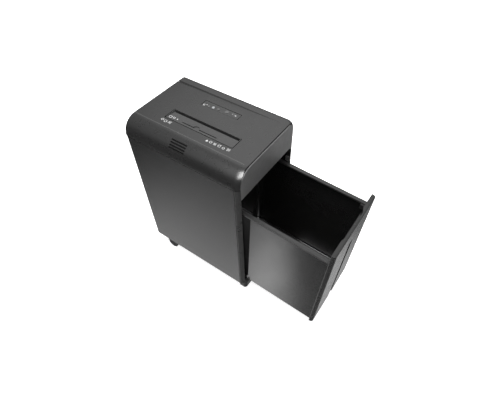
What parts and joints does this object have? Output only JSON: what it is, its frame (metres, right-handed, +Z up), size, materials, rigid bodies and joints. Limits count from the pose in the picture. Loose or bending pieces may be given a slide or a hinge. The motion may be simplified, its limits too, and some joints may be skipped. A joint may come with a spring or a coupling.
{
  "type": "paper shredder",
  "caption": "Deskside paper shredder with top feed slot, large rounded shoulder, pull-out waste bin that tips on its rear axle, geared cutter drive and swivel casters.",
  "frame": {"origin": "on the floor, below the centre of the object's bounding box with the bin pulled out", "axes": "+Z up; -Y is the way the bin pulls out; -X is the user's side, where the large rounded shoulder is"},
  "size_m": [0.27, 0.6736, 0.5738],
  "materials": {
    "cover": "fine-grained matte charcoal ABS",
    "plate": "fine-grained matte charcoal ABS",
    "panel": "satin black-grey moulded panel",
    "post": "satin black-grey moulded edge",
    "base": "matte black moulding",
    "chassis": "matte black moulding",
    "dark_trim": "matte black",
    "tray": "matte charcoal",
    "inlay": "matte charcoal film",
    "key_lit": "translucent key, softly lit",
    "key_dark": "matte key cap",
    "lens": "small light pipe",
    "board": "green circuit board",
    "steel": "plain machined steel",
    "plate_steel": "zinc-plated steel sheet",
    "cutter": "oiled hardened steel",
    "gear_steel": "sintered steel gear",
    "gear_plastic": "natural acetal",
    "bush": "sintered bronze",
    "motor_can": "painted steel motor can",
    "rail": "zinc-plated steel channel",
    "guide": "grey acetal",
    "bin": "satin black polypropylene",
    "rim": "satin black moulding",
    "front": "satin black-grey moulding",
    "roller": "white acetal roller",
    "fork": "black nylon",
    "wheel": "black tread on black nylon"
  },
  "bodies": {
    "cabinet": {"base_tray": "base", "near_side_panel": "panel", "far_side_panel": "panel", "rear_panel": "base", "front_post_near": "post", "front_post_far": "post", "bin_rail_near": "rail", "bin_rail_far": "rail", "bin_guide_blocks": "guide", "sill_glides": "guide", "head_cover": "cover", "front_plate": "plate", "head_chassis": "chassis", "vent_baffle": "dark_trim", "throat_tray": "tray", "feed_chute": "chassis", "control_inlay": "inlay", "status_lights": "lens", "control_board": "board", "main_board": "board", "motor": "motor_can", "idler_pin": "steel", "cutter_plate_front": "plate_steel", "cutter_plate_rear": "plate_steel", "shaft_bushes": "bush", "tie_rods": "steel", "stripper_comb_near": "chassis", "stripper_comb_far": "chassis", "gear_cover": "chassis", "paper_sensor": "dark_trim", "bin_switch": "dark_trim", "cord_gland": "dark_trim", "rocker_bezel": "dark_trim", "screws": "steel"},
    "bin_carriage": {"bin_axle": "steel", "bin_rollers": "roller"},
    "bin": {"bin_bucket": "bin", "bin_rim": "rim", "bin_front": "front", "bin_brackets": "guide"},
    "cutter_a": {"cutter_shaft_a": "cutter", "drive_gear": "gear_steel", "sync_gear_a": "gear_steel"},
    "cutter_b": {"cutter_shaft_b": "cutter", "sync_gear_b": "gear_steel"},
    "idler": {"idler_gear": "gear_plastic"},
    "motor_rotor": {"motor_pinion": "steel"},
    "power_key": {"power_key": "key_lit"},
    "reverse_key": {"reverse_key": "key_dark"},
    "forward_key": {"forward_key": "key_dark"},
    "power_rocker": {"power_rocker": "dark_trim"},
    "swivel_front_near": {"caster_fork_front_near": "fork"},
    "wheels_front_near": {"caster_wheels_front_near": "wheel"},
    "swivel_front_far": {"caster_fork_front_far": "fork"},
    "wheels_front_far": {"caster_wheels_front_far": "wheel"},
    "swivel_rear_near": {"caster_fork_rear_near": "fork"},
    "wheels_rear_near": {"caster_wheels_rear_near": "wheel"},
    "swivel_rear_far": {"caster_fork_rear_far": "fork"},
    "wheels_rear_far": {"caster_wheels_rear_far": "wheel"}
  },
  "joints": [
    {"name": "bin_slide", "type": "slide", "parent": "cabinet", "child": "bin_carriage", "axis": [0, 1, 0], "range_m": [0, 0.266]},
    {"name": "bin_tilt", "type": "hinge", "parent": "bin_carriage", "child": "bin", "pos_m": [0, 0.04476, 0.416], "axis": [1, 0, 0], "range_deg": [-2.65, 0]},
    {"name": "cutter_a_spin", "type": "hinge", "parent": "cabinet", "child": "cutter_a", "pos_m": [0.002, 0.13276, 0.52], "axis": [0, 1, 0], "continuous": true},
    {"name": "cutter_b_spin", "type": "hinge", "parent": "cabinet", "child": "cutter_b", "pos_m": [-0.036, 0.13276, 0.52], "axis": [0, 1, 0], "continuous": true},
    {"name": "idler_spin", "type": "hinge", "parent": "cabinet", "child": "idler", "pos_m": [0.03941, 0.28076, 0.52795], "axis": [0, 1, 0], "continuous": true},
    {"name": "motor_spin", "type": "hinge", "parent": "cabinet", "child": "motor_rotor", "pos_m": [0.07506, 0.28076, 0.53296], "axis": [0, 1, 0], "continuous": true},
    {"name": "power_key_press", "type": "slide", "parent": "cabinet", "child": "power_key", "axis": [0, 0, -1], "range_m": [0, 0.001], "stiffness_N_per_m": 400, "springref_m": -0.002},
    {"name": "reverse_key_press", "type": "slide", "parent": "cabinet", "child": "reverse_key", "axis": [0, 0, -1], "range_m": [0, 0.001], "stiffness_N_per_m": 400, "springref_m": -0.002},
    {"name": "forward_key_press", "type": "slide", "parent": "cabinet", "child": "forward_key", "axis": [0, 0, -1], "range_m": [0, 0.001], "stiffness_N_per_m": 400, "springref_m": -0.002},
    {"name": "rocker_flip", "type": "hinge", "parent": "cabinet", "child": "power_rocker", "pos_m": [-0.055, 0.32876, 0.54], "axis": [1, 0, 0], "range_deg": [-14, 0]},
    {"name": "swivel_front_near", "type": "hinge", "parent": "cabinet", "child": "swivel_front_near", "pos_m": [-0.113, -0.00124, 0.041], "axis": [0, 0, 1], "continuous": true},
    {"name": "roll_front_near", "type": "hinge", "parent": "swivel_front_near", "child": "wheels_front_near", "pos_m": [-0.095, -0.00124, 0.02], "axis": [0, 1, 0], "continuous": true},
    {"name": "swivel_front_far", "type": "hinge", "parent": "cabinet", "child": "swivel_front_far", "pos_m": [0.113, -0.00124, 0.041], "axis": [0, 0, 1], "continuous": true},
    {"name": "roll_front_far", "type": "hinge", "parent": "swivel_front_far", "child": "wheels_front_far", "pos_m": [0.095, -0.00124, 0.02], "axis": [0, 1, 0], "continuous": true},
    {"name": "swivel_rear_near", "type": "hinge", "parent": "cabinet", "child": "swivel_rear_near", "pos_m": [-0.113, 0.28776, 0.041], "axis": [0, 0, 1], "continuous": true},
    {"name": "roll_rear_near", "type": "hinge", "parent": "swivel_rear_near", "child": "wheels_rear_near", "pos_m": [-0.113, 0.26976, 0.02], "axis": [1, 0, 0], "continuous": true},
    {"name": "swivel_rear_far", "type": "hinge", "parent": "cabinet", "child": "swivel_rear_far", "pos_m": [0.113, 0.28776, 0.041], "axis": [0, 0, 1], "continuous": true},
    {"name": "roll_rear_far", "type": "hinge", "parent": "swivel_rear_far", "child": "wheels_rear_far", "pos_m": [0.113, 0.26976, 0.02], "axis": [1, 0, 0], "continuous": true}
  ],
  "couplings": [
    {"joint": "bin_tilt", "follows": "bin_slide", "rad_per_m": -0.17387},
    {"joint": "cutter_b_spin", "follows": "cutter_a_spin", "ratio": -1},
    {"joint": "idler_spin", "follows": "cutter_a_spin", "ratio": -3.25},
    {"joint": "motor_spin", "follows": "cutter_a_spin", "ratio": 16.25}
  ]
}
